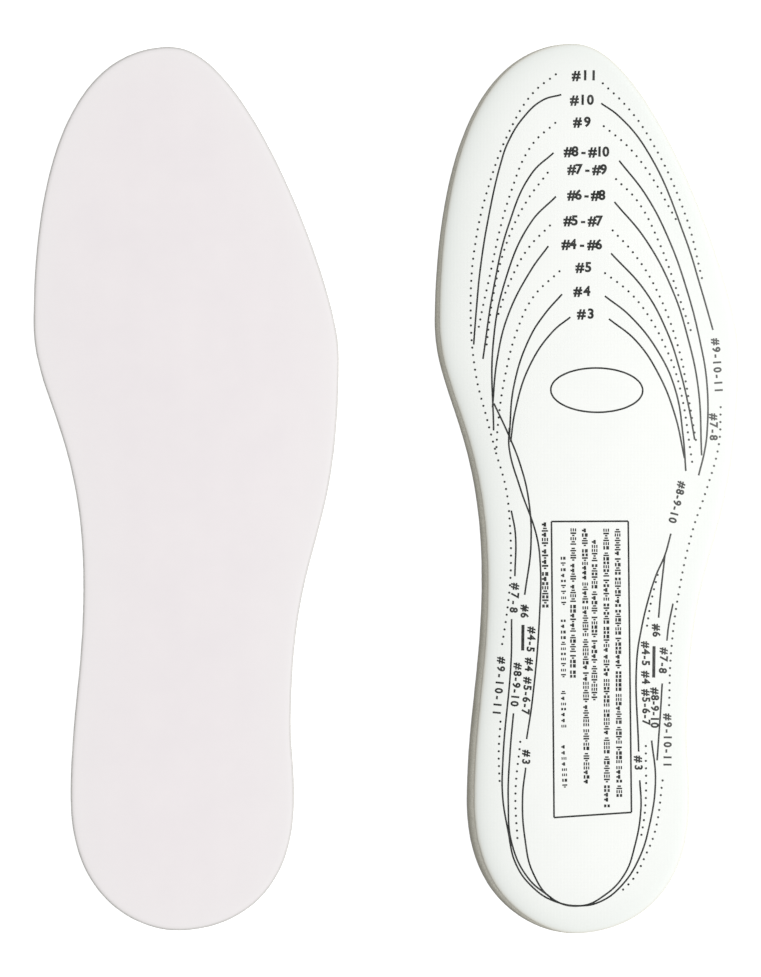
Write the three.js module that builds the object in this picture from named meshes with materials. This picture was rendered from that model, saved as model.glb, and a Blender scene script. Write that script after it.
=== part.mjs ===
// A pair of flat cushioned insoles that are cut to size with scissors, lying side by side on a table.
// Each insole is five layers bonded face to face: a foot-side cloth, a bond web, a foam core, a second
// bond web and a base cloth. The right-foot insole lies foot side up at -X. The left-foot insole lies
// turned over at +X, with its base cloth up, so both show the same plan outline with the big toe at -X.
// Millimetres, +Z up, +Y towards the toes, z = 0 on the table, and x = y = 0 midway between the two.
import * as THREE from "three";

// Plan of one insole. "Along" is measured from the back of the heel, "across" from the long axis.
const LENGTH = 310;
const TOE_TIP_ACROSS = 5;
const BALL_INNER_ACROSS = 53.5;
const BALL_INNER_ALONG = 212.5;
const BALL_OUTER_ACROSS = 53.6;
const BALL_OUTER_ALONG = 202.5;
const WAIST_INNER_ACROSS = 36;
const WAIST_INNER_ALONG = 121;
const WAIST_OUTER_ACROSS = 36.7;
const WAIST_OUTER_ALONG = 69;
const HEEL_INNER_ACROSS = 40.5;
const HEEL_INNER_ALONG = 46.5;
const HEEL_OUTER_ACROSS = 37.9;
const HEEL_OUTER_ALONG = 46;
const HEEL_BACK_ACROSS = 3.5;

// The left insole is cut a little longer than the right one.
const LEFT_EXTRA_LENGTH = 2.8;

// Layers, from the foot side to the underside.
const TOP_CLOTH = 0.6;
const TOP_BOND_WEB = 0.1;
const FOAM_CORE = 3.2;
const BASE_BOND_WEB = 0.1;
const BASE_CLOTH = 0.5;

// The cut wall slopes, so the underside stands in from the foot side: by the least lean all round, and
// by more on the big-toe side, where the slope fades from the heel to the toes.
const WALL_LEAN_LEAST = 0.3;
const WALL_LEAN_AT_HEEL = 2.7;
const WALL_LEAN_AT_TOES = 0.9;

// How the two insoles lie.
const GAP_BETWEEN_INSOLES = 32.9;
const TURNED_INSOLE_YAW = THREE.MathUtils.degToRad(-0.6);

// Straight steps round the edge of each layer.
const EDGE_STEPS = 144;

const THICKNESS = TOP_CLOTH + TOP_BOND_WEB + FOAM_CORE + BASE_BOND_WEB + BASE_CLOTH;
const INSOLE_SPACING = BALL_INNER_ACROSS + BALL_OUTER_ACROSS + GAP_BETWEEN_INSOLES;

const TOWARDS_HEEL = new THREE.Vector2(0, -1);
const TOWARDS_TOE = new THREE.Vector2(0, 1);
const TO_INNER_SIDE = new THREE.Vector2(-1, 0);
const TO_OUTER_SIDE = new THREE.Vector2(1, 0);

// The outline's turning points, counter-clockwise from the toe tip. The edge runs in the heading given
// at each one, and before and after are how long its curve handles are on either side.
const TURNING_POINTS = [
  { x: -TOE_TIP_ACROSS, y: LENGTH, heading: TO_INNER_SIDE, before: 27, after: 40 },
  { x: -BALL_INNER_ACROSS, y: BALL_INNER_ALONG, heading: TOWARDS_HEEL, before: 43, after: 25 },
  { x: -WAIST_INNER_ACROSS, y: WAIST_INNER_ALONG, heading: TOWARDS_HEEL, before: 53.5, after: 29.5 },
  { x: -HEEL_INNER_ACROSS, y: HEEL_INNER_ALONG, heading: TOWARDS_HEEL, before: 28.5, after: 37.5 },
  { x: -HEEL_BACK_ACROSS, y: 0, heading: TO_OUTER_SIDE, before: 11, after: 18 },
  { x: HEEL_OUTER_ACROSS, y: HEEL_OUTER_ALONG, heading: TOWARDS_TOE, before: 36, after: 14 },
  { x: WAIST_OUTER_ACROSS, y: WAIST_OUTER_ALONG, heading: TOWARDS_TOE, before: 5, after: 72 },
  { x: BALL_OUTER_ACROSS, y: BALL_OUTER_ALONG, heading: TOWARDS_TOE, before: 72, after: 20.5 },
];

// Evenly spaced points round the foot side of an insole of this length.
function outlinePoints(length) {
  const path = new THREE.CurvePath();
  TURNING_POINTS.forEach((from, index) => {
    const to = TURNING_POINTS[(index + 1) % TURNING_POINTS.length];
    const start = new THREE.Vector2(from.x, from.y);
    const end = new THREE.Vector2(to.x, to.y);
    const leaving = start.clone().addScaledVector(from.heading, from.after);
    const arriving = end.clone().addScaledVector(to.heading, -to.before);
    path.add(new THREE.CubicBezierCurve(start, leaving, arriving, end));
  });
  const stretch = new THREE.Vector2(1, length / LENGTH);
  return path.getSpacedPoints(EDGE_STEPS).slice(0, EDGE_STEPS).map((point) => point.multiply(stretch));
}

// The outline at a share of the way down the wall, from 0 at the foot side to 1 at the underside.
function leaningRing(outline, share) {
  return outline.map((point, index) => {
    const previous = outline[(index + outline.length - 1) % outline.length];
    const next = outline[(index + 1) % outline.length];
    const run = next.clone().sub(previous).normalize();
    const inward = new THREE.Vector2(-run.y, run.x);
    const bigToeSide = Math.max(0, inward.x);
    const slope = THREE.MathUtils.lerp(WALL_LEAN_AT_HEEL, WALL_LEAN_AT_TOES, point.y / LENGTH);
    return point.clone().addScaledVector(inward, share * (WALL_LEAN_LEAST + slope * bigToeSide));
  });
}

// A closed slab between two rings that have the same number of points.
function slabGeometry(lowRing, lowZ, highRing, highZ) {
  const count = lowRing.length;
  const positions = [];
  lowRing.forEach((point) => positions.push(point.x, point.y, lowZ));
  highRing.forEach((point) => positions.push(point.x, point.y, highZ));
  const faces = [];
  for (const [a, b, c] of THREE.ShapeUtils.triangulateShape(lowRing, [])) {
    faces.push(a, c, b);
  }
  for (const [a, b, c] of THREE.ShapeUtils.triangulateShape(highRing, [])) {
    faces.push(count + a, count + b, count + c);
  }
  for (let index = 0; index < count; index += 1) {
    const next = (index + 1) % count;
    faces.push(index, next, count + next);
    faces.push(index, count + next, count + index);
  }
  const geometry = new THREE.BufferGeometry();
  geometry.setAttribute("position", new THREE.Float32BufferAttribute(positions, 3));
  geometry.setIndex(faces);
  geometry.computeVertexNormals();
  return geometry;
}

const topClothFinish = { color: 0xe8e4e6, roughness: 0.95, metalness: 0 };
const bondWebFinish = { color: 0xd8d2bd, roughness: 0.45, metalness: 0 };
const foamFinish = { color: 0xc9c3ae, roughness: 0.9, metalness: 0 };
const baseClothFinish = { color: 0xeef0e8, roughness: 0.85, metalness: 0 };

const LAYERS = [
  { name: "top_cloth", thickness: TOP_CLOTH, finish: topClothFinish },
  { name: "top_bond_web", thickness: TOP_BOND_WEB, finish: bondWebFinish },
  { name: "foam_core", thickness: FOAM_CORE, finish: foamFinish },
  { name: "base_bond_web", thickness: BASE_BOND_WEB, finish: bondWebFinish },
  { name: "base_cloth", thickness: BASE_CLOTH, finish: baseClothFinish },
];

// One insole's layers, stacked face to face from the foot side down, or up when it lies turned over.
function insole(foot, footSideUp, length) {
  const group = new THREE.Group();
  const edge = outlinePoints(length);
  const levelAt = (depth) => ({
    ring: leaningRing(edge, depth / THICKNESS),
    z: footSideUp ? THICKNESS - depth : depth,
  });
  let depth = 0;
  for (const layer of LAYERS) {
    const footFace = levelAt(depth);
    depth += layer.thickness;
    const baseFace = levelAt(depth);
    const [low, high] = footSideUp ? [baseFace, footFace] : [footFace, baseFace];
    const geometry = slabGeometry(low.ring, low.z, high.ring, high.z);
    const mesh = new THREE.Mesh(geometry, new THREE.MeshStandardMaterial(layer.finish));
    mesh.name = `${foot}_${layer.name}`;
    group.add(mesh);
  }
  group.position.set(0, -length / 2, 0);
  return group;
}

const rightInsole = insole("right", true, LENGTH);
const leftInsole = insole("left", false, LENGTH + LEFT_EXTRA_LENGTH);
const turnedInsole = new THREE.Group().add(leftInsole);
turnedInsole.position.set(INSOLE_SPACING, 0, 0);
turnedInsole.rotation.z = TURNED_INSOLE_YAW;

// The pair is centred on the origin, whatever the sizes above are.
const insolePair = new THREE.Group().add(rightInsole, turnedInsole);
const extent = new THREE.Box3().setFromObject(insolePair, true);
const middle = extent.getCenter(new THREE.Vector3());
insolePair.position.set(-middle.x, -middle.y, 0);

export default insolePair;
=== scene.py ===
import math
import random

import bmesh
import bpy
from mathutils import Matrix, Vector, noise
from mathutils.bvhtree import BVHTree


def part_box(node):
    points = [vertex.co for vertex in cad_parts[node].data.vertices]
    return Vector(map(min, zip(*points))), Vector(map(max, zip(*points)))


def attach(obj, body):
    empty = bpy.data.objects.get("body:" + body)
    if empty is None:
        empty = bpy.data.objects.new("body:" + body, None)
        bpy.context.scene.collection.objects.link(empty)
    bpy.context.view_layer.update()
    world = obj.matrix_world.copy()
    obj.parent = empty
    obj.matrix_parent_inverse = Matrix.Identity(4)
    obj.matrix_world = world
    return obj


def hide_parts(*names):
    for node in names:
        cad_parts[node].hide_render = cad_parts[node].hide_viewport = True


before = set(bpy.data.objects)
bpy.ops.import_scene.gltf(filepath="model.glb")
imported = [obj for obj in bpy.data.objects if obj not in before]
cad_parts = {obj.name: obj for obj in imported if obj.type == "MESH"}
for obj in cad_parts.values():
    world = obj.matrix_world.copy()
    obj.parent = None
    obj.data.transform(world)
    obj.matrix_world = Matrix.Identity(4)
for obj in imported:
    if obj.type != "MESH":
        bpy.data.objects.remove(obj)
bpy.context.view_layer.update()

# ---- Foot-side cloths -----------------------------------------------------------------------------
# A brushed polyester knit, 0.6 mm thick, bonded over the foam before the insole is stamped out. The
# die pinches the laminate as it cuts, so the cloth turns down at the rim and its cut edge is uneven.

MM = 0.001
INSOLE_THICKNESS = 4.5 * MM
# The foot side of the right insole is up, and the left insole lies turned over.
FOOT_SIDE_UP = {"right": True, "left": False}

# Rings of quads just inside the rim, where the cloth turns down, and the grid over the rest.
RIM_RING_WIDTHS = [0.3 * MM, 0.5 * MM, 0.8 * MM, 1.2 * MM, 2 * MM, 3 * MM]
GRID_SPACING = 4 * MM
# A filled flat face has many more corners than any quad of the wall.
FLAT_FACE_CORNERS = 100
SAME_PLACE = 0.001 * MM

# How the laminate lies: the upper face goes down at the rim, sharply and then over a wider band, the
# lower face lifts a little, and the upper face is never quite level. The cut rolls the base cloth over
# further than the foot cloth.
RIM_PINCH = {"right": 0.32 * MM, "left": 0.42 * MM}
RIM_PINCH_WIDTH = {"right": 0.45 * MM, "left": 1.4 * MM}
RIM_SLUMP = {"right": 0.03 * MM, "left": 0.3 * MM}
RIM_SLUMP_WIDTH = 7 * MM
UNDER_RIM_LIFT = 0.2 * MM
UNDER_RIM_WIDTH = 1.2 * MM
WAVE_HEIGHT = 0.11 * MM
WAVE_LENGTH = 45 * MM
WAVE_START = {"right": 3 * MM, "left": 71 * MM}

# How far in from the cut edge the blade frays a layer, how coarse the fray is, and how far in the rim
# mark reaches.
CUT_REACH = 0.15 * MM
FINE_FRAY = 0.8 * MM
COARSE_FRAY = 6 * MM
RIM_REACH = 9 * MM
SMOOTH_ANGLE = math.radians(35)


def work_on(piece):
    """Makes this piece the only one that the operators act on."""
    bpy.ops.object.select_all(action="DESELECT")
    piece.select_set(True)
    bpy.context.view_layer.objects.active = piece


def apply_modifier(piece, kind, **settings):
    """Adds a modifier to a piece and applies it."""
    modifier = piece.modifiers.new(kind.title(), kind)
    for name, value in settings.items():
        setattr(modifier, name, value)
    work_on(piece)
    bpy.ops.object.modifier_apply(modifier=modifier.name)


def select_faces(piece, wanted):
    """Selects the faces of the piece in edit mode for which wanted is true."""
    bpy.ops.mesh.select_mode(type="FACE")
    bpy.ops.mesh.select_all(action="DESELECT")
    mesh = bmesh.from_edit_mesh(piece.data)
    for face in mesh.faces:
        face.select_set(wanted(face))
    bmesh.update_edit_mesh(piece.data)


# Each layer's two rims, by its name: their level and a ribbon along them. cut_wall fills it.
rims = {}


def cut_wall(node, name):
    """The wall that the die leaves on a layer: the CAD solid without its two flat faces, in quads."""
    piece = bpy.data.objects.new(name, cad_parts[node].data.copy())
    bpy.context.scene.collection.objects.link(piece)
    piece.data.materials.clear()
    work_on(piece)
    bpy.ops.object.mode_set(mode="EDIT")
    bpy.ops.mesh.select_all(action="SELECT")
    bpy.ops.mesh.customdata_custom_splitnormals_clear()
    bpy.ops.mesh.remove_doubles(threshold=SAME_PLACE)
    select_faces(piece, lambda face: abs(face.normal.z) > 0.99)
    bpy.ops.mesh.delete(type="FACE")
    bpy.ops.mesh.select_all(action="SELECT")
    bpy.ops.mesh.tris_convert_to_quads()
    bpy.ops.object.mode_set(mode="OBJECT")
    apply_modifier(piece, "SUBSURF", levels=2, render_levels=2)
    rims[piece.name] = [(level, upright_ribbon(rim_line(piece, level)))
                        for level in (piece.bound_box[0][2], piece.bound_box[1][2])]
    return piece


def close_faces(piece, rounding=0.0):
    """Closes both faces of a layer's wall, with rings of quads along the rim and a grid inside."""
    work_on(piece)
    bpy.ops.object.mode_set(mode="EDIT")
    bpy.ops.mesh.select_all(action="SELECT")
    bpy.ops.mesh.fill_holes(sides=0)
    bpy.ops.mesh.normals_make_consistent(inside=False)
    select_faces(piece, lambda face: len(face.verts) > FLAT_FACE_CORNERS)
    if rounding:
        bpy.ops.mesh.region_to_loop()
        bpy.ops.mesh.bevel(offset=rounding, segments=2, affect="EDGES")
        select_faces(piece, lambda face: len(face.verts) > FLAT_FACE_CORNERS)
    for width in RIM_RING_WIDTHS:
        bpy.ops.mesh.inset(thickness=width)
    bpy.ops.mesh.hide(unselected=True)
    low = Vector(min(corner[axis] for corner in piece.bound_box) for axis in range(3))
    high = Vector(max(corner[axis] for corner in piece.bound_box) for axis in range(3))
    for axis, square_to in ((0, (1, 0, 0)), (1, (0, 1, 0))):
        for step in range(1, int((high[axis] - low[axis]) / GRID_SPACING) + 1):
            place = low.copy()
            place[axis] += step * GRID_SPACING
            bpy.ops.mesh.select_all(action="SELECT")
            bpy.ops.mesh.bisect(plane_co=place, plane_no=square_to)
    bpy.ops.mesh.reveal(select=False)
    bpy.ops.object.mode_set(mode="OBJECT")


def rim_line(piece, level):
    """The rim of a layer's wall at one level, as plan points in counter-clockwise order."""
    rim = [v.index for v in piece.data.vertices if abs(v.co.z - level) < SAME_PLACE]
    neighbours = {index: [] for index in rim}
    for edge in piece.data.edges:
        a, b = edge.vertices
        if a in neighbours and b in neighbours:
            neighbours[a].append(b)
            neighbours[b].append(a)
    line = [rim[0], neighbours[rim[0]][0]]
    while len(line) < len(rim):
        line.append(next(n for n in neighbours[line[-1]] if n != line[-2]))
    points = [tuple(piece.data.vertices[index].co.xy) for index in line]
    turn = sum(a[0] * b[1] - b[0] * a[1] for a, b in zip(points, points[1:] + points[:1]))
    return points if turn > 0 else points[::-1]


def upright_ribbon(line):
    """A tall ribbon that stands on a closed line, to measure plan distances from."""
    corners = [(x, y, z) for x, y in line for z in (-1, 1)]
    count = len(corners)
    faces = [(low, (low + 2) % count, (low + 3) % count, low + 1) for low in range(0, count, 2)]
    return BVHTree.FromPolygons(corners, faces)


def from_the_cut(piece, place):
    """How far in from its layer's cut edge a point lies, in plan, and the way out to that edge."""
    for level, ribbon in rims[piece.name]:
        _, outward, _, distance = ribbon.find_nearest(Vector((place.x, place.y, 0)))
        if abs(place.z - level) < SAME_PLACE:
            return distance, outward
    return 0.0, outward


def lay_down(piece, foot, raggedness, seed, on_the_wall=None, cut_mark_width=CUT_REACH):
    """Lays a layer as the pinched and slightly wavy laminate lies, and marks its cut edge and rim."""
    marks = {name: piece.data.attributes.new(name, "FLOAT", "POINT")
             for name in ("cut", "rim", "near_the_foot")}
    for vertex in piece.data.vertices:
        place = vertex.co.copy()
        inset, outward = from_the_cut(piece, place)
        on_cut = math.exp(-((inset / CUT_REACH) ** 2))
        share = place.z / INSOLE_THICKNESS
        # The cut mark reaches onto the face. The colour it carries is partly the raw cut edge and partly a
        # painted shadow line along the rim.
        marks["cut"].data[vertex.index].value = math.exp(-((inset / cut_mark_width) ** 2))
        marks["rim"].data[vertex.index].value = math.exp(-inset / RIM_REACH)
        marks["near_the_foot"].data[vertex.index].value = share if FOOT_SIDE_UP[foot] else 1 - share
        wave = noise.noise(Vector((place.x, place.y, WAVE_START[foot])) / WAVE_LENGTH)
        sunk = RIM_PINCH[foot] * math.exp(-inset / RIM_PINCH_WIDTH[foot])
        sunk += RIM_SLUMP[foot] * math.exp(-inset / RIM_SLUMP_WIDTH)
        lifted = UNDER_RIM_LIFT * math.exp(-inset / UNDER_RIM_WIDTH)
        upper = INSOLE_THICKNESS + WAVE_HEIGHT * wave - sunk
        fray = noise.noise(Vector((place.x, place.y, seed * MM + place.z / 2)) / FINE_FRAY)
        fray += noise.noise(Vector((place.x, place.y, WAVE_START[foot])) / COARSE_FRAY)
        vertex.co += outward * raggedness * fray * on_cut
        if on_the_wall:
            vertex.co += outward * on_the_wall(place, outward) * on_cut
        vertex.co.z = lifted + share * (upper - lifted)
    work_on(piece)
    bpy.ops.object.shade_smooth_by_angle(angle=SMOOTH_ANGLE)


def math_node(tree, operation, *values):
    """A Math node whose inputs are sockets or numbers."""
    node = tree.nodes.new("ShaderNodeMath")
    node.operation = operation
    for socket, value in zip(node.inputs, values):
        if isinstance(value, (int, float)):
            socket.default_value = value
        else:
            tree.links.new(value, socket)
    return node.outputs[0]


def mix_colours(tree, share, first, second):
    """A Mix node between two colours, each a socket or a tuple."""
    node = tree.nodes.new("ShaderNodeMix")
    node.data_type = "RGBA"
    for socket, value in ((node.inputs[0], share), (node.inputs[6], first), (node.inputs[7], second)):
        if isinstance(value, tuple):
            socket.default_value = (*value, 1)
        elif isinstance(value, (int, float)):
            socket.default_value = value
        else:
            tree.links.new(value, socket)
    return node.outputs[2]


def noise_node(tree, place, size, detail=2.0, roughness=0.5):
    """A Noise Texture whose features are about this size in metres."""
    node = tree.nodes.new("ShaderNodeTexNoise")
    tree.links.new(place, node.inputs["Vector"])
    node.inputs["Scale"].default_value = 1 / size
    node.inputs["Detail"].default_value = detail
    node.inputs["Roughness"].default_value = roughness
    return node.outputs["Fac"]


def own_mark(tree, name):
    """One of the marks that lay_down leaves on a piece, as a socket."""
    node = tree.nodes.new("ShaderNodeAttribute")
    node.attribute_name = name
    return node.outputs["Fac"]


def new_finish(name):
    """An empty material: its node tree, its Principled shader and its Object coordinates."""
    material = bpy.data.materials.new(name)
    material.use_nodes = True
    tree = material.node_tree
    shader = tree.nodes["Principled BSDF"]
    place = tree.nodes.new("ShaderNodeTexCoord").outputs["Object"]
    return material, tree, shader, place


def build_cloth_face():
    """Threads, nap and mottling of a thin cloth, shared by both cloths."""
    group = bpy.data.node_groups.new("cloth_face", "ShaderNodeTree")
    face = group.interface
    face.new_socket("Place", in_out="INPUT", socket_type="NodeSocketVector")
    for name in ("Course Pitch", "Wale Pitch", "Slant", "Nap"):
        face.new_socket(name, in_out="INPUT", socket_type="NodeSocketFloat")
    for name in ("Height", "Thread", "Mottle"):
        face.new_socket(name, in_out="OUTPUT", socket_type="NodeSocketFloat")
    given = group.nodes.new("NodeGroupInput").outputs
    made = group.nodes.new("NodeGroupOutput").inputs
    split = group.nodes.new("ShaderNodeSeparateXYZ")
    group.links.new(given["Place"], split.inputs[0])
    drift = noise_node(group, given["Place"], 2.5 * MM, detail=1)
    drift = math_node(group, "MULTIPLY", drift, 2.5)
    across = math_node(group, "DIVIDE", split.outputs["X"], given["Wale Pitch"])
    across = math_node(group, "MULTIPLY_ADD", across, math.tau, drift)
    wale = math_node(group, "SINE", across)
    leaning = math_node(group, "MULTIPLY", wale, given["Slant"])
    along = math_node(group, "DIVIDE", split.outputs["Y"], given["Course Pitch"])
    along = math_node(group, "MULTIPLY_ADD", along, math.tau, leaning)
    course = math_node(group, "SINE", along)
    thread = math_node(group, "MULTIPLY_ADD", wale, 0.25, 0.5)
    thread = math_node(group, "MULTIPLY_ADD", course, 0.25, thread)
    nap = noise_node(group, given["Place"], 0.22 * MM, detail=3, roughness=0.7)
    nap = math_node(group, "MULTIPLY", nap, given["Nap"])
    height = math_node(group, "ADD", thread, nap)
    mottle = noise_node(group, given["Place"], 16 * MM, detail=3, roughness=0.6)
    for name, value in (("Height", height), ("Thread", thread), ("Mottle", mottle)):
        group.links.new(value, made[name])
    return group


cloth_face = build_cloth_face()


def cloth_finish(name, look):
    """A cloth's material: threads and nap, painted shade between the threads, mottling, a rim colour that
    is paler on the foot cloth and darker on the base cloth as painted shade, and a darker cut edge that is
    partly painted shade.
    """
    material, tree, shader, place = new_finish(name)
    face = tree.nodes.new("ShaderNodeGroup")
    face.node_tree = cloth_face
    tree.links.new(place, face.inputs["Place"])
    for socket in ("Course Pitch", "Wale Pitch", "Slant", "Nap"):
        face.inputs[socket].default_value = look[socket]
    blotch = math_node(tree, "MULTIPLY_ADD", face.outputs["Mottle"], 2.4, -0.7)
    tint = mix_colours(tree, blotch, look["cool"], look["warm"])
    # Rim colour: on the base cloth a darker one, painted shade over the last millimetres to the edge; on
    # the foot cloth a slightly paler tint.
    tint = mix_colours(tree, own_mark(tree, "rim"), tint, look["rim"])
    # Painted shade: the cloth is darker in the hollows between its threads.
    hollow = math_node(tree, "MULTIPLY_ADD", face.outputs["Thread"], -0.9, 0.6)
    tint = mix_colours(tree, hollow, tint, look["painted shade between threads"])
    # Cut edge colour: partly the raw cut edge, partly painted shade, a shadow line along the rim.
    fray = noise_node(tree, place, 0.35 * MM, detail=2)
    fray = math_node(tree, "MULTIPLY_ADD", fray, 0.9, 0.45)
    cut = math_node(tree, "MULTIPLY", own_mark(tree, "cut"), fray)
    tint = mix_colours(tree, cut, tint, look["cut edge and painted shade"])
    tree.links.new(tint, shader.inputs["Base Color"])
    rough = math_node(tree, "MULTIPLY_ADD", face.outputs["Thread"], 0.12, look["roughness"])
    tree.links.new(rough, shader.inputs["Roughness"])
    shader.inputs["Sheen Weight"].default_value = look["sheen"]
    shader.inputs["Sheen Roughness"].default_value = 0.5
    shader.inputs["Specular IOR Level"].default_value = 0.25
    bump = tree.nodes.new("ShaderNodeBump")
    bump.inputs["Strength"].default_value = look["relief"]
    bump.inputs["Distance"].default_value = 0.05 * MM
    tree.links.new(face.outputs["Height"], bump.inputs["Height"])
    tree.links.new(bump.outputs["Normal"], shader.inputs["Normal"])
    return material


brushed_knit = cloth_finish("brushed_knit", {
    "Course Pitch": 0.42 * MM, "Wale Pitch": 0.36 * MM, "Slant": 1.6, "Nap": 1.1,
    "cool": (0.84, 0.795, 0.81), "warm": (0.865, 0.82, 0.83), "rim": (0.86, 0.835, 0.835),
    # Painted shade: the dark cut edge colour is partly a grey shadow line all round the rim, and the colour
    # between threads is shade in the thread hollows.
    "painted shade between threads": (0.80, 0.755, 0.765), "cut edge and painted shade": (0.46, 0.455, 0.43),
    "roughness": 0.82, "sheen": 0.12, "relief": 0.35,
})

for foot in FOOT_SIDE_UP:
    cloth = cut_wall(f"{foot}_top_cloth", f"{foot}_brushed_foot_cloth")
    close_faces(cloth, rounding=0.12 * MM)
    lay_down(cloth, foot, raggedness=0.05 * MM, seed=11, cut_mark_width=0.6 * MM)
    cloth.data.materials.append(brushed_knit)
    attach(cloth, "root")
    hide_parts(f"{foot}_top_cloth")

# ---- Foam cores -----------------------------------------------------------------------------------
# A 3.2 mm sheet of open-cell foam, tan where it is cut. The blade opens its cells, so the wall is
# pitted, and it bulges a little between the two cloths that hold it.

FOAM_BULGE = 0.1 * MM
LEANING_WALL_BULGE = 0.25 * MM
CELL_SIZE = 0.75 * MM
CELL_DEPTH = 0.16 * MM
FOAM_THICKNESS = 3.2 * MM
# How sharply an opened cell's depth falls off from its middle.
CELL_STEEPNESS = 1.7


def foam_wall_out(place, outward):
    """How far the foam's cut wall stands out at a place: its bulge, less the opened cells."""
    middle = INSOLE_THICKNESS / 2
    edge = abs(place.z - middle) / (FOAM_THICKNESS / 2)
    within = max(0.0, 1 - edge ** 2)
    nearest = noise.voronoi(place / CELL_SIZE)[0][0]
    bulge = FOAM_BULGE + LEANING_WALL_BULGE * max(0.0, -outward.x)
    return bulge * within - CELL_DEPTH * (within > 0.1) * max(0.0, 1 - CELL_STEEPNESS * nearest)


def foam_finish():
    """Cut foam: fine cells over the coarse ones, with painted shade in the cells and, in patches, greyer
    and darker towards the foot cloth, which on the turned-over insole lies on the table.
    """
    material, tree, shader, place = new_finish("cut_foam")
    cells = tree.nodes.new("ShaderNodeTexVoronoi")
    cells.inputs["Scale"].default_value = 1 / (0.32 * MM)
    tree.links.new(place, cells.inputs["Vector"])
    hollow = math_node(tree, "MULTIPLY_ADD", cells.outputs["Distance"], -1.6, 1.0)
    patches = noise_node(tree, place, 9 * MM, detail=3)
    # Painted shade: greyer and darker towards the foot cloth, which lies on the table on the turned-over
    # insole, in random patches.
    painted_shade_to_foot = math_node(tree, "MULTIPLY_ADD", own_mark(tree, "near_the_foot"), 1.5, -0.25)
    painted_shade_to_foot = math_node(tree, "MULTIPLY_ADD", patches, 0.5, math_node(tree, "ADD", painted_shade_to_foot, -0.25))
    tint = mix_colours(tree, painted_shade_to_foot, (0.84, 0.82, 0.72), (0.42, 0.41, 0.34))
    # Painted shade in the opened cells: darker where each fine cell is deepest.
    tint = mix_colours(tree, math_node(tree, "MULTIPLY", hollow, 0.6), tint, (0.42, 0.40, 0.33))
    tree.links.new(tint, shader.inputs["Base Color"])
    rough = math_node(tree, "MULTIPLY_ADD", hollow, 0.1, 0.85)
    tree.links.new(rough, shader.inputs["Roughness"])
    shader.inputs["Specular IOR Level"].default_value = 0.3
    bump = tree.nodes.new("ShaderNodeBump")
    bump.inputs["Strength"].default_value = 0.7
    bump.inputs["Distance"].default_value = 0.12 * MM
    tree.links.new(cells.outputs["Distance"], bump.inputs["Height"])
    tree.links.new(bump.outputs["Normal"], shader.inputs["Normal"])
    return material


cut_foam = foam_finish()
for foot in FOOT_SIDE_UP:
    foam = cut_wall(f"{foot}_foam_core", f"{foot}_cut_foam_core")
    close_faces(foam)
    work_on(foam)
    bpy.ops.object.mode_set(mode="EDIT")
    select_faces(foam, lambda face: abs(face.normal.z) < 0.9)
    bpy.ops.mesh.subdivide(number_cuts=3)
    bpy.ops.object.mode_set(mode="OBJECT")
    lay_down(foam, foot, raggedness=0.03 * MM, seed=23, on_the_wall=foam_wall_out)
    foam.data.materials.append(cut_foam)
    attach(foam, "root")
    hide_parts(f"{foot}_foam_core")

# ---- Bond webs ------------------------------------------------------------------------------------
# A 0.1 mm web of hot-melt glue on each side of the foam. It is melted between foam and cloth in a
# press, and only its cut edge shows, as a thin glossy line with beads where the glue squeezed out.

BEAD_HEIGHT = 0.09 * MM
BEAD_SPACING = 1.4 * MM


def glue_finish():
    """Hot-melt glue: amber, shiny and slightly beaded."""
    material, tree, shader, place = new_finish("melted_glue")
    beads = noise_node(tree, place, 1.1 * MM, detail=2)
    tint = mix_colours(tree, beads, (0.62, 0.56, 0.42), (0.78, 0.73, 0.60))
    tree.links.new(tint, shader.inputs["Base Color"])
    rough = math_node(tree, "MULTIPLY_ADD", beads, 0.3, 0.3)
    tree.links.new(rough, shader.inputs["Roughness"])
    bump = tree.nodes.new("ShaderNodeBump")
    bump.inputs["Strength"].default_value = 0.5
    bump.inputs["Distance"].default_value = 0.05 * MM
    tree.links.new(beads, bump.inputs["Height"])
    tree.links.new(bump.outputs["Normal"], shader.inputs["Normal"])
    return material


def glue_beads(place, outward):
    """How far the glue has squeezed out at a place."""
    return BEAD_HEIGHT * max(0.0, noise.noise(place / BEAD_SPACING))


melted_glue = glue_finish()
for foot in FOOT_SIDE_UP:
    for side, layer in (("foot", "top_bond_web"), ("base", "base_bond_web")):
        web = cut_wall(f"{foot}_{layer}", f"{foot}_{side}_glue_web")
        close_faces(web)
        lay_down(web, foot, raggedness=0.02 * MM, seed=31, on_the_wall=glue_beads)
        web.data.materials.append(melted_glue)
        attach(web, "root")
        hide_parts(f"{foot}_{layer}")

# ---- Base cloths ----------------------------------------------------------------------------------
# A close plain-woven cotton and polyester cloth, 0.5 mm thick, bonded under the foam. It is off-white
# with a slight green cast, and it carries the trimming lines.

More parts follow.
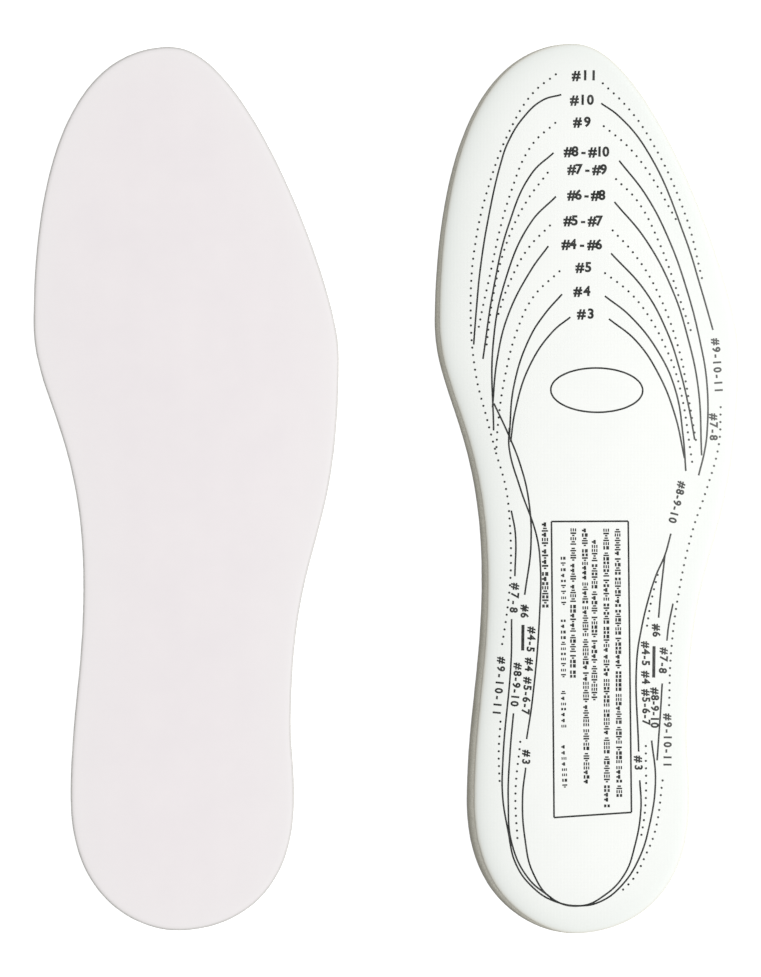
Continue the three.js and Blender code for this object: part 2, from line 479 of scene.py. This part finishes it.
woven_base = cloth_finish("woven_base", {
    "Course Pitch": 0.5 * MM, "Wale Pitch": 0.5 * MM, "Slant": 0.0, "Nap": 0.6,
    "cool": (0.85, 0.865, 0.84), "warm": (0.875, 0.885, 0.86), "rim": (0.75, 0.78, 0.75),
    # Painted shade: the darker rim colour shades the base cloth towards its edge, and the cut edge colour
    # is partly a shadow line along the rim.
    "painted shade between threads": (0.81, 0.825, 0.80), "cut edge and painted shade": (0.66, 0.65, 0.58),
    # Painted shade: the colour between threads is shade in the thread hollows.
    "roughness": 0.8, "sheen": 0.05, "relief": 0.3,
})
base_cloths = {}
for foot in FOOT_SIDE_UP:
    cloth = cut_wall(f"{foot}_base_cloth", f"{foot}_woven_base_cloth")
    close_faces(cloth, rounding=0.1 * MM)
    lay_down(cloth, foot, raggedness=0.05 * MM, seed=47, cut_mark_width=0.6 * MM)
    cloth.data.materials.append(woven_base)
    base_cloths[foot] = cloth
    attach(cloth, "root")
    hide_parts(f"{foot}_base_cloth")

# ---- Trimming print -------------------------------------------------------------------------------
# Black screen-printing ink on the base cloth: nested trimming lines, drawn through or dotted by turns,
# their size figures with a "#" before them, a ring, and a ruled panel of notes. Places are in
# millimetres on the turned-over insole: across from its long axis, along from mid-length.

INK_LINE_WIDTH = 0.62
UNDERLINE_WIDTH = 1.1
INK_HEIGHT = 0.03
DOT_WIDTH = 0.82
DOT_SPACING = 2.6
FIGURE_HEIGHT = 3.4
# A figure's height as a share of the type size, and how far the ink spreads, as a share of the height.
FIGURE_SHARE = 0.72
INK_SPREAD = 0.055

PANEL_STEPS = 20
RING_POINTS = 24
# How far the print's axis lies from the middle of the insole's width, and how many degrees each insole
# lies turned.
PRINT_OFF_CENTRE = 0.55
TURNED_BY = {"right": 0.0, "left": -0.6}
# How far from the cloth a point of the print starts when it is pressed on, in metres.
CLEAR_OF_CLOTH = 0.02

# Each size's figure, its middle and how long it is, whether its line is dotted, and its line on the
# big-toe side and on the other side.
FOREFOOT_LINES = [
    ("#11", -1.9, 144.6, 8.1, True,
     [(-12, 145), (-20, 138.3), (-28, 125), (-35, 106), (-39.5, 86), (-41, 65), (-39, 40), (-35, 24.5),
      (-31.5, 12)],
     [(4.5, 142), (12.5, 134.5), (20.5, 124), (34, 96), (40, 74)]),
    ("#10", -2.7, 136, 8.4, False,
     [(-10, 137.9), (-16.5, 135.9), (-23, 130), (-28.5, 121), (-31, 113.5), (-35, 95), (-37.7, 77),
      (-39, 62), (-39.8, 50)],
     [(4, 135), (10, 130.8), (20, 119), (34, 88), (39.5, 71), (44, 56)]),
    ("#9", -2.6, 128.3, 6.2, True,
     [(-12, 128), (-20, 120.3), (-27, 104.5), (-35.5, 69), (-38.5, 54)],
     [(5, 127), (13.5, 120), (20.5, 111.5), (31, 94)]),
    ("#8 - #10", -0.9, 117.9, 16, False,
     [(-12.5, 117.5), (-20, 110.3), (-28, 92), (-33, 70), (-36.5, 45)],
     [(10.5, 115), (20, 103), (28, 88), (35, 69), (39.5, 52), (42, 38), (42.3, 20), (41.5, 13.5),
      (39.5, 5)]),
    ("#7 - #9", -0.6, 111.7, 13.9, True,
     [(-14.5, 110.5), (-22, 100), (-28.5, 86), (-33, 68), (-35.5, 48)],
     [(9.5, 108.5), (17, 101), (25, 86), (32.5, 66), (36.5, 55)]),
    ("#6 - #8", -0.8, 102.7, 13.4, False,
     [(-11.5, 102.2), (-20, 93.3), (-29, 72.5), (-33, 50), (-32.5, 20)],
     [(9, 100.5), (20, 87.5), (30, 69), (35, 54), (39, 36), (40.5, 12)]),
    ("#5 - #7", -1.9, 93.7, 13.9, True,
     [(-13.5, 92), (-21, 84), (-28, 70.5), (-31.5, 60)],
     [(8.5, 90.5), (16, 82.5), (24, 70), (33, 46), (34.6, 38), (36.8, 26), (38.5, 17)]),
    ("#4 - #6", -2.2, 85.4, 14.3, False,
     [(-14, 84.8), (-20, 76.3), (-28, 60), (-31.5, 45), (-33, 28)],
     [(8, 82.5), (20, 69.5), (28, 55), (32.5, 42), (36, 28), (38, 17.5)]),
    ("#5", -1.5, 77.4, 5.6, True,
     [(-10, 76), (-19, 67), (-24.5, 55.5), (-28.5, 40), (-31, 22), (-31.5, 12)],
     [(6, 75.5), (14.5, 69), (20.5, 62), (28.5, 47.5), (32, 38), (37.5, 8)]),
    ("#4", -2, 69, 6, False,
     [(-9, 68), (-15, 61), (-20, 53), (-25.5, 36), (-27, 18)],
     [(6, 67.5), (15, 60.5), (25, 48), (31, 35), (34, 18), (35, 6.5)]),
    ("#3", -0.6, 61.1, 5.9, False,
     [(-6, 60), (-12, 55), (-20, 43), (-25, 27), (-26.5, 16)],
     [(7.5, 59.5), (17, 52), (25, 40.5), (31, 26), (34.5, 11)]),
]
# Lines that go on round the waist and the heel.
HEEL_LINES = [
    [(-32.5, 29.5), (-27, 18), (-23, 8), (-20, -4), (-19, -20), (-21, -37.5)],
    [(-27, 21), (-27, 14), (-23, 0), (-17, -17), (-15.7, -26), (-15.7, -44), (-18, -75), (-19.8, -88)],
    [(-20, -98), (-21, -108), (-20, -123), (-17, -135), (-10, -144), (0, -146.2), (8, -142.5),
     (15, -135), (18.5, -125), (20.5, -112), (20, -102)],
    [(-26, -8), (-24.5, -16), (-24.5, -31)],
    [(-25.5, -46), (-25.5, -60), (-28, -95), (-28, -108), (-26, -120), (-23, -132), (-17, -140),
     (-10, -144.5), (0, -146.2), (7, -144.5), (14, -139), (20, -129.5), (23.5, -118), (25.5, -102),
     (24, -88)],
    [(-24.5, -79), (-25.5, -92), (-26, -110), (-24.5, -125), (-18.5, -137), (-10, -144)],
    [(30, -15.5), (28, -23), (25, -30), (22.5, -38), (20, -49), (18.5, -60), (19.5, -92)],
    [(28, -23), (26.5, -38), (26, -45)],
    [(31, -40), (29.5, -48), (29, -53)],
    [(27.5, -68), (27, -78), (26, -95)],
]
UNDERLINES = [[(-21.5, -48), (-21.5, -57)], [(24.5, -55), (24.5, -66)]]
HEEL_DOTTED_LINES = [
    [(-31.5, 12), (-28, 0), (-26.5, -12), (-26, -30), (-27, -42.5), (-29, -57)],
    [(-29, -82), (-29.5, -92), (-29, -105)],
    [(-22, -89), (-23.5, -107), (-22.5, -125)],
    [(25.5, -30), (23.2, -40), (21.8, -49)],
    [(47, 29), (46.5, 16), (42, -1), (38, -13), (33.5, -33), (30.5, -57), (30, -76)],
    [(28, -102), (25.5, -120), (22, -129), (18.5, -136), (13, -142)],
    [(22, -90), (22, -112), (20.5, -123)],
]
# Size figures that read down the waist: what they say, their middle, how they are turned, their length.
SIDE_FIGURES = [
    ("#9-10-11", 45.5, 43.5, -86, 18.6), ("#7-8", 44.5, 22, -90, 9.5), ("#8-9-10", 32, -4.5, -104, 15),
    ("#6", 25.2, -49.5, -90, 4.6), ("#4-5 #4 #5-6-7", 21.7, -68, -89, 29.5),
    ("#7-8", 27.8, -60, -94, 9.1), ("#8-9-10", 24.9, -76.6, -90, 14.2),
    ("#9-10-11", 29.5, -88, -90, 18.3), ("#3", 19.4, -96, -90, 5),
    ("#7-8", -24.6, -38.6, -94.5, 10.5), ("#6", -21, -43.3, -95, 4.7),
    ("#4-5 #4 #5-6-7", -19.4, -64, -94, 31), ("#8-9-10", -23.7, -69, -95, 15.4),
    ("#9-10-11", -29.7, -69.6, -95, 20), ("#3", -19.9, -94.4, -95, 5),
]
SIDE_FIGURE_HEIGHT = 2.7
RING_MIDDLE, RING_HALF_WIDTH, RING_HALF_HEIGHT = (3.5, 34.5), 16.1, 7.75
PANEL = [(-11.9, -11.7), (15, -11.3), (17.2, -113.3), (-9.9, -115.4)]
# Rows of notes that run down the panel, and a bold one beside it: where each starts, where it ends,
# and how many words it is divided into.
NOTE_ROWS = [
    ((11.3, -14), (12.9, -108), 11), ((7.3, -14), (8.6, -111), 12), ((3.3, -18), (3.8, -75), 6),
    ((-0.2, -14), (1.4, -103.5), 10), ((-4.2, -14), (-3.8, -66), 7),
]
SPACED_ROWS = [
    ((-7.7, -24), (-7.3, -40), 1), ((-7.4, -46), (-7.1, -66), 1), ((-7.1, -71), (-6.8, -83), 1),
    ((-6.8, -90), (-6.2, -105), 1),
]
BOLD_ROW = ((-14.2, -12), (-13.7, -42), 3)
NOTE_HEIGHT = 2
MARK_GAP = 0.3
SPACED_MARK_GAP = 0.9
SPACED_MARK_SIZE = 0.85
BOLD_MARK_SIZE = 1.1
WORD_GAP = 0.7
# A word's length, as shares of its row's length divided by the row's words.
SHORTEST_WORD = 0.6
LONGEST_WORD = 1.3
LONGEST_FIRST_WORD = 1.2
# The notes' marks, each of bars given by left, low, right and high, in shares of the notes' height.
# They are plain blocks and spell nothing.
NOTE_MARKS = [
    [(0, 0, 0.5, 0.4), (0, 0.6, 0.5, 1)],
    [(0, 0, 0.62, 0.3), (0, 0.5, 0.62, 1)],
    [(0, 0, 0.55, 0.22), (0, 0.39, 0.55, 0.61), (0, 0.78, 0.55, 1)],
    [(0, 0, 0.3, 1), (0.42, 0.3, 0.68, 0.7)],
    [(0, 0.3, 0.7, 0.7), (0.2, 0, 0.5, 0.3)],
    [(0, 0.2, 0.26, 0.8), (0.4, 0, 0.66, 1)],
]


def joined(pieces, name):
    """One object out of many, in the order given."""
    bpy.ops.object.select_all(action="DESELECT")
    for piece in pieces:
        piece.select_set(True)
    bpy.context.view_layer.objects.active = pieces[0]
    bpy.ops.object.join()
    pieces[0].name = name
    return pieces[0]


def drawn_curve(lines, closed=False):
    """A curve object with one smooth line through each list of places."""
    curve = bpy.data.curves.new("drawn", "CURVE")
    curve.dimensions = "3D"
    curve.resolution_u = 12
    for line in lines:
        spline = curve.splines.new("BEZIER")
        spline.bezier_points.add(len(line) - 1)
        for point, (across, along) in zip(spline.bezier_points, line):
            point.co = (across * MM, along * MM, 0)
            point.handle_left_type = point.handle_right_type = "AUTO"
        spline.use_cyclic_u = closed
    drawn = bpy.data.objects.new("drawn", curve)
    bpy.context.scene.collection.objects.link(drawn)
    return drawn


def ink_stroke(drawn, width=INK_LINE_WIDTH):
    """Turns a drawn curve into flat strokes of ink."""
    drawn.data.bevel_depth = width / 2 * MM
    drawn.data.bevel_resolution = 1
    drawn.data.use_fill_caps = True
    work_on(drawn)
    bpy.ops.object.convert(target="MESH")
    drawn.data.transform(Matrix.Diagonal((1, 1, INK_HEIGHT / (width / 2), 1)))
    return drawn


def points_along(drawn, spacing):
    """Places at even spacing along each line of a drawn curve, which is used up."""
    work_on(drawn)
    bpy.ops.object.convert(target="MESH")
    vertices = [v.co.copy() for v in drawn.data.vertices]
    linked = {edge.vertices[0] for edge in drawn.data.edges if edge.vertices[1] == edge.vertices[0] + 1}
    places = []
    to_next = 0.0
    for index, here in enumerate(vertices[:-1]):
        if index not in linked:
            to_next = 0.0
            continue
        run = vertices[index + 1] - here
        while to_next < run.length:
            places.append(here + run * (to_next / run.length))
            to_next += spacing
        to_next -= run.length
    bpy.data.objects.remove(drawn)
    return places


def ink_dots(lines):
    """A dot of ink at even steps along each line."""
    bpy.ops.mesh.primitive_cylinder_add(vertices=8, radius=DOT_WIDTH / 2 * MM, depth=2 * INK_HEIGHT * MM)
    dot = bpy.context.object
    places = points_along(drawn_curve(lines), DOT_SPACING * MM)
    dots = []
    for place in places:
        one = dot.copy()
        one.data = dot.data.copy()
        one.data.transform(Matrix.Translation(place))
        bpy.context.scene.collection.objects.link(one)
        dots.append(one)
    bpy.data.objects.remove(dot)
    return dots


def ink_figure(words, across, along, turned, length, height, reading_up):
    """A size figure in ink. On the insole that lies foot side up it is reversed, to read from below."""
    bpy.ops.object.text_add()
    figure = bpy.context.object
    figure.data.body = words
    figure.data.align_x = figure.data.align_y = "CENTER"
    figure.data.size = height * MM / FIGURE_SHARE
    figure.data.offset = INK_SPREAD * height * MM
    figure.data.extrude = INK_HEIGHT * MM
    figure.data.resolution_u = 3
    if len(words) > 1:
        lengths = []
        for spacing in (1, 2):
            figure.data.space_character = spacing
            bpy.context.view_layer.update()
            lengths.append(figure.dimensions.x)
        figure.data.space_character = 1 + (length * MM - lengths[0]) / (lengths[1] - lengths[0])
    bpy.ops.object.convert(target="MESH")
    flip = Matrix.Diagonal((1 if reading_up else -1, 1, 1, 1))
    turn = Matrix.Rotation(math.radians(turned), 4, "Z")
    figure.data.transform(Matrix.Translation((across * MM, along * MM, 0)) @ turn @ flip)
    work_on(figure)
    bpy.ops.object.mode_set(mode="EDIT")
    bpy.ops.mesh.select_all(action="SELECT")
    bpy.ops.mesh.remove_doubles(threshold=SAME_PLACE)
    bpy.ops.mesh.normals_make_consistent(inside=False)
    bpy.ops.object.mode_set(mode="OBJECT")
    return figure


def note_mark(bars):
    """One of the meaningless marks that the notes are made of."""
    strokes = []
    for bar in bars:
        left, low, right, high = (share * NOTE_HEIGHT * MM for share in bar)
        bpy.ops.mesh.primitive_cube_add(size=1, location=((left + right) / 2, (low + high) / 2, 0),
                                        scale=(right - left, high - low, 2 * INK_HEIGHT * MM))
        strokes.append(bpy.context.object)
    mark = joined(strokes, "mark")
    work_on(mark)
    bpy.ops.object.transform_apply(location=True, rotation=True, scale=True)
    return mark


def ink_note_row(start, end, words, marks, draw, size=1.0, gap=MARK_GAP):
    """A row of notes: marks drawn at random, with gaps between the words."""
    start, run = Vector(start), Vector(end) - Vector(start)
    turn = math.atan2(run.y, run.x)
    word_length = run.length / words
    shape = Matrix.Rotation(turn, 4, "Z") @ Matrix.Diagonal((size, size, 1, 1))
    row = []
    along, next_gap = 0.0, word_length * draw.uniform(SHORTEST_WORD, LONGEST_FIRST_WORD)
    while along < run.length:
        mark = draw.choice(marks)
        foot_line = Matrix.Rotation(turn, 2) @ Vector((along, -size * NOTE_HEIGHT / 2))
        one = mark.copy()
        one.data = mark.data.copy()
        one.data.transform(Matrix.Translation((*((start + foot_line) * MM), 0)) @ shape)
        bpy.context.scene.collection.objects.link(one)
        row.append(one)
        along += size * mark.dimensions.x / MM + gap
        if words > 1 and along > next_gap:
            along += WORD_GAP
            next_gap = along + word_length * draw.uniform(SHORTEST_WORD, LONGEST_WORD)
    return row


def on_cloth(master, name, foot):
    """A copy of a printed piece, moved onto an insole and pressed onto its base cloth."""
    print_piece = bpy.data.objects.new(name, master.data.copy())
    bpy.context.scene.collection.objects.link(print_piece)
    up = not FOOT_SIDE_UP[foot]
    print_piece.data.transform(plan_place[foot])
    skin = BVHTree.FromObject(base_cloths[foot], bpy.context.evaluated_depsgraph_get())
    towards = Vector((0, 0, -1 if up else 1))
    for vertex in print_piece.data.vertices:
        start = Vector((vertex.co.x, vertex.co.y, 0)) - towards * CLEAR_OF_CLOTH
        hit = skin.ray_cast(start, towards)[0]
        vertex.co.z += hit.z
    print_piece.data.materials.clear()
    print_piece.data.materials.append(printing_ink)
    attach(print_piece, "root")
    return print_piece


def ink_finish():
    """Screen-printing ink: black, thin in places where the cloth's threads show through, and painted light
    that greys it towards the right.
    """
    material, tree, shader, place = new_finish("printing_ink")
    face = tree.nodes.new("ShaderNodeGroup")
    face.node_tree = cloth_face
    tree.links.new(place, face.inputs["Place"])
    for socket, value in (("Course Pitch", 0.5 * MM), ("Wale Pitch", 0.5 * MM), ("Slant", 0), ("Nap", 0.8)):
        face.inputs[socket].default_value = value
    worn = noise_node(tree, place, 3 * MM, detail=4, roughness=0.7)
    thin = math_node(tree, "MULTIPLY_ADD", worn, 3.0, -1.2)
    thin = math_node(tree, "MULTIPLY", thin, face.outputs["Thread"])
    tint = mix_colours(tree, thin, (0.018, 0.02, 0.019), (0.13, 0.13, 0.125))
    # Painted light: the ink turns greyer towards the right, as if washed out by the light from that side.
    split = tree.nodes.new("ShaderNodeSeparateXYZ")
    tree.links.new(place, split.inputs[0])
    painted_light_to_right = math_node(tree, "MULTIPLY_ADD", split.outputs["X"], 1 / (50 * MM), -1.7)
    painted_light_to_right = math_node(tree, "MULTIPLY", math_node(tree, "MAXIMUM", painted_light_to_right, 0.0), 0.32)
    tint = mix_colours(tree, painted_light_to_right, tint, (0.5, 0.5, 0.48))
    tree.links.new(tint, shader.inputs["Base Color"])
    rough = math_node(tree, "MULTIPLY_ADD", face.outputs["Thread"], 0.2, 0.6)
    tree.links.new(rough, shader.inputs["Roughness"])
    shader.inputs["Specular IOR Level"].default_value = 0.2
    bump = tree.nodes.new("ShaderNodeBump")
    bump.inputs["Strength"].default_value = 0.3
    bump.inputs["Distance"].default_value = 0.05 * MM
    tree.links.new(face.outputs["Height"], bump.inputs["Height"])
    tree.links.new(bump.outputs["Normal"], shader.inputs["Normal"])
    return material


printing_ink = ink_finish()

# Where each insole's print is laid: its axis runs just beside the middle of the insole's width.
plan_place = {}
for foot, turned in TURNED_BY.items():
    low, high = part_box(f"{foot}_top_cloth")
    axis_at = Vector(((low.x + high.x) / 2 - PRINT_OFF_CENTRE * MM, (low.y + high.y) / 2, 0))
    plan_place[foot] = Matrix.Translation(axis_at) @ Matrix.Rotation(math.radians(turned), 4, "Z")

drawn_through = [arm for *_, dotted, inner, outer in FOREFOOT_LINES if not dotted
                 for arm in (inner, outer)]
dotted_arms = [arm for *_, dotted, inner, outer in FOREFOOT_LINES if dotted for arm in (inner, outer)]
ring = []
for step in range(RING_POINTS):
    turn = step * math.tau / RING_POINTS
    ring.append((RING_MIDDLE[0] + RING_HALF_WIDTH * math.cos(turn),
                 RING_MIDDLE[1] + RING_HALF_HEIGHT * math.sin(turn)))
# Each side of the panel goes in short steps, so that the ink follows the slightly wavy cloth.
panel_sides = [[tuple(Vector(start).lerp(Vector(end), step / PANEL_STEPS))
                for step in range(PANEL_STEPS + 1)]
               for start, end in zip(PANEL, PANEL[1:] + PANEL[:1])]
lines = [ink_stroke(drawn_curve(drawn_through + HEEL_LINES + panel_sides)),
         ink_stroke(drawn_curve([ring], closed=True)),
         ink_stroke(drawn_curve(UNDERLINES), UNDERLINE_WIDTH)]
masters = {"lines": joined(lines, "lines"),
           "dots": joined(ink_dots(dotted_arms + HEEL_DOTTED_LINES), "dots")}
draw = random.Random(5)
marks = [note_mark(bars) for bars in NOTE_MARKS]
rows = [ink_note_row(*row, marks, draw) for row in NOTE_ROWS]
rows += [ink_note_row(*row, marks, draw, SPACED_MARK_SIZE, SPACED_MARK_GAP) for row in SPACED_ROWS]
rows.append(ink_note_row(*BOLD_ROW, marks, draw, BOLD_MARK_SIZE))
masters["notes"] = joined([mark for row in rows for mark in row], "notes")
for mark in marks:
    bpy.data.objects.remove(mark)
for foot, foot_up in FOOT_SIDE_UP.items():
    figures = []
    for words, across, along, length, *_ in FOREFOOT_LINES:
        figures.append(ink_figure(words, across, along, 0, length, FIGURE_HEIGHT, not foot_up))
    for figure in SIDE_FIGURES:
        figures.append(ink_figure(*figure, SIDE_FIGURE_HEIGHT, not foot_up))
    masters["figures"] = joined(figures, f"{foot}_figures_flat")
    work_on(masters["figures"])
    bpy.ops.object.transform_apply(location=True, rotation=True, scale=True)
    printed = [on_cloth(master, f"{foot}_print_{what}", foot) for what, master in masters.items()]
    bpy.data.objects.remove(masters.pop("figures"))
for master in masters.values():
    bpy.data.objects.remove(master)

# ---- Table, lights and camera ---------------------------------------------------------------------
# The pair lies on a plain white table that glows a little, as a light table does. A broad soft light
# hangs over it, a low one stands close on the right, and the camera looks straight down.

TABLE_SIZE = 6
TABLE_DROP = 0.05 * MM
bpy.ops.mesh.primitive_plane_add(size=TABLE_SIZE, location=(0, 0, -TABLE_DROP))
table = bpy.context.object
table.name = "table"
white_top, tree, shader, place = new_finish("white_table")
shader.inputs["Base Color"].default_value = (0.6, 0.6, 0.6, 1)
shader.inputs["Roughness"].default_value = 0.7
shader.inputs["Specular IOR Level"].default_value = 0.1
shader.inputs["Emission Color"].default_value = (1, 1, 1, 1)
seen = tree.nodes.new("ShaderNodeLightPath").outputs["Is Camera Ray"]
glow = math_node(tree, "MULTIPLY", seen, 0.87)
tree.links.new(glow, shader.inputs["Emission Strength"])
table.data.materials.append(white_top)

world = bpy.data.worlds.new("studio")
bpy.context.scene.world = world
world.use_nodes = True
sky = world.node_tree.nodes["Background"]
sky.inputs["Color"].default_value = (1, 1, 1, 1)
seen = world.node_tree.nodes.new("ShaderNodeLightPath").outputs["Is Camera Ray"]
strength = math_node(world.node_tree, "MULTIPLY_ADD", seen, 0.4, 0.45)
world.node_tree.links.new(strength, sky.inputs["Strength"])


def light_at(name, kind, place, aim, energy):
    """A light of this kind that stands at a place and shines at another."""
    lamp = bpy.data.lights.new(name, kind)
    lamp.energy = energy
    light = bpy.data.objects.new(name, lamp)
    bpy.context.scene.collection.objects.link(light)
    light.location = place
    light.rotation_euler = (Vector(aim) - Vector(place)).to_track_quat("-Z", "Y").to_euler()
    light.visible_camera = False
    return lamp


key = light_at("key", "SUN", (1.35, 0, 1.5), (0, 0, 0), 2.17)
key.angle = math.radians(22)
strip = light_at("low_strip", "AREA", (0.27, 0, 0.09), (0.08, 0, 0), 0.5)
strip.shape = "RECTANGLE"
strip.size = 0.9
strip.size_y = 0.05

VIEW_WIDTH_MIDDLE = -2.15 * MM
VIEW_HEIGHT = 342.3 * MM
CAMERA_DISTANCE = 1.2
camera_data = bpy.data.cameras.new("camera")
camera = bpy.data.objects.new("camera", camera_data)
bpy.context.scene.collection.objects.link(camera)
camera.location = (VIEW_WIDTH_MIDDLE, 0, INSOLE_THICKNESS + CAMERA_DISTANCE)
camera_data.lens = camera_data.sensor_width * CAMERA_DISTANCE / VIEW_HEIGHT
camera_data.clip_end = 50
bpy.context.scene.camera = camera
bpy.context.scene.view_settings.view_transform = "Standard"
